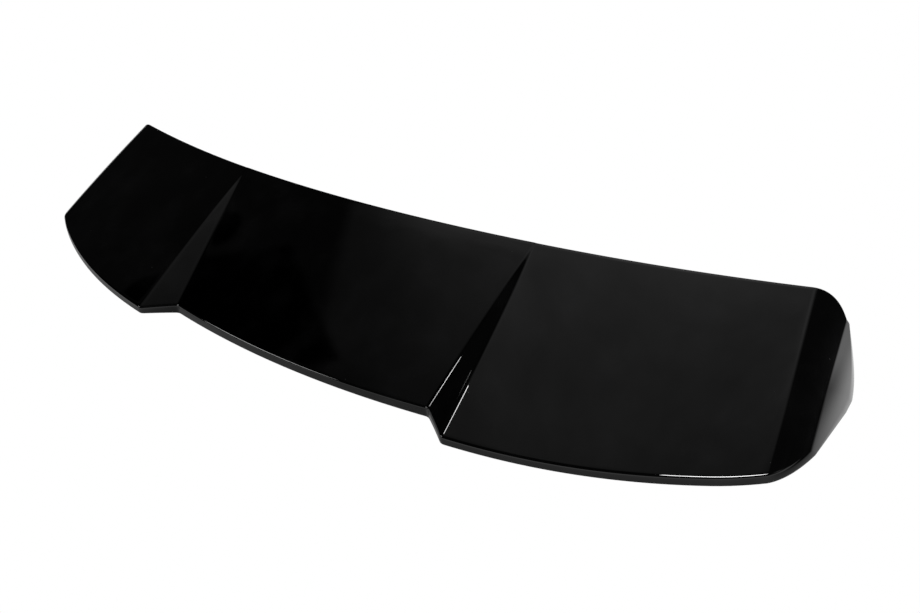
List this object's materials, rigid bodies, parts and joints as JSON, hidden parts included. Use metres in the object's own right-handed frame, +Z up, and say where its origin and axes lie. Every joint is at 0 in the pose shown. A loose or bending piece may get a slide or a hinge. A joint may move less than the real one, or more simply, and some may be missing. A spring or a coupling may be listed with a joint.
{
  "type": "car rear spoiler",
  "caption": "Gloss black car spoiler moulded as a bowed open shell, with raised wings beside a recessed middle, sloping tips, a slim rear face and curved side walls.",
  "frame": {"origin": "middle of the bounding box, at the level of the lower rim that the spoiler stands on", "axes": "+X across the car, to the right seen from behind; +Y towards the front of the car; +Z up. The spoiler is raked so that the flats under its sides and the rim under the middle of its rear edge share the level z = 0"},
  "size_m": [1.1972, 0.268, 0.098],
  "materials": {
    "gloss_black": "high-gloss black moulded plastic"
  },
  "bodies": {
    "root": {"spoiler_shell": "gloss_black"}
  },
  "joints": []
}
